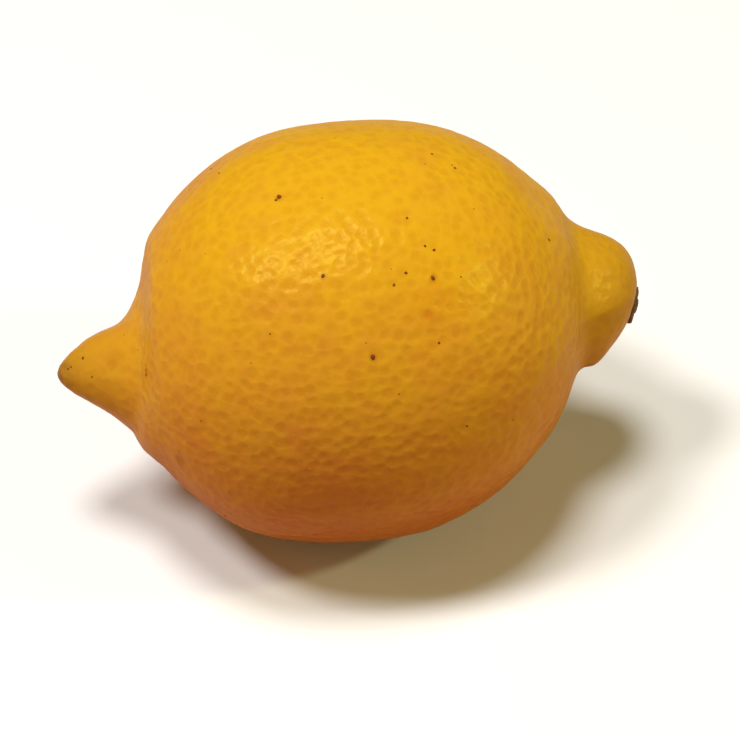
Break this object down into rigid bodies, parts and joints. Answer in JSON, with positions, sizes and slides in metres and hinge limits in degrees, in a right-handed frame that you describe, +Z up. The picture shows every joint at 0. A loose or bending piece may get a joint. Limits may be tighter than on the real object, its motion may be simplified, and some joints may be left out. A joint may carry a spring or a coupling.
{
  "type": "lemon",
  "caption": "Ripe lemon lying on its side: pitted waxy yellow rind, a pointed nipple at one end and a lobed neck with the dried calyx button at the other.",
  "frame": {"origin": "under the middle of the lemon's bounding box, on the surface that it lies on", "axes": "+X along the fruit from the nipple (flower end, at -X) to the neck (stem end, at +X); +Z up; +Y sideways"},
  "size_m": [0.0842, 0.0606, 0.0601],
  "materials": {
    "rind": "waxy satin rind, finely pitted with oil glands",
    "dried_calyx": "dry, matt, greyish-brown woody tissue"
  },
  "bodies": {
    "root": {"fruit": "rind", "calyx_button": "dried_calyx"}
  },
  "joints": []
}
